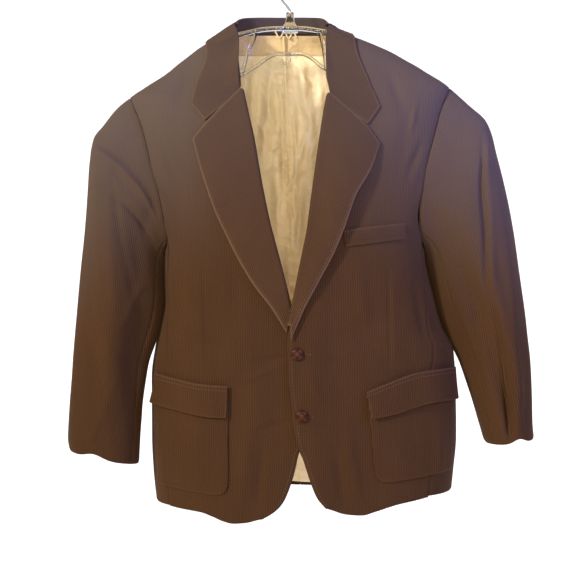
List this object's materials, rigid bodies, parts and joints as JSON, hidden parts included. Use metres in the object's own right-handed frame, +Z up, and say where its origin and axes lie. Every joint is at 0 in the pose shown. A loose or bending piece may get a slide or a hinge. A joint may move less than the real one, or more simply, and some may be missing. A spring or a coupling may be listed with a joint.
{
  "type": "corduroy jacket on a clear hanger",
  "caption": "Notch-lapel corduroy jacket with patch pockets and buttoned front, hanging open-necked on a clear moulded hanger with a wire hook.",
  "frame": {"origin": "inner top of the hanger's hook, where a rail carries it", "axes": "+Z up, +Y from the jacket's front to its back, +X to the viewer's right facing the front"},
  "size_m": [0.7339, 0.2157, 0.8604],
  "materials": {
    "corduroy": "brown fine-wale cotton corduroy",
    "lining": "cream satin",
    "button_leather": "glossy woven leather",
    "hanger_clear": "clear moulded styrene",
    "hook_steel": "bright wire"
  },
  "bodies": {
    "root": {"front_right": "corduroy", "front_left": "corduroy", "side_right": "corduroy", "side_left": "corduroy", "back_right": "corduroy", "back_left": "corduroy", "sleeve_top_right": "corduroy", "sleeve_top_left": "corduroy", "sleeve_under_right": "corduroy", "sleeve_under_left": "corduroy", "facing_right": "corduroy", "facing_left": "corduroy", "collar": "corduroy", "lining_back_right": "lining", "lining_back_left": "lining", "lining_neck_right": "lining", "lining_neck_left": "lining", "pocket_right": "corduroy", "pocket_left": "corduroy", "flap_right": "corduroy", "flap_left": "corduroy", "breast_welt": "corduroy", "button_upper": "button_leather", "button_lower": "button_leather", "cuff_button_left": "button_leather", "cuff_button_right": "button_leather", "hang_loop": "lining", "hanger_frame": "hanger_clear", "hanger_hook": "hook_steel"}
  },
  "joints": []
}
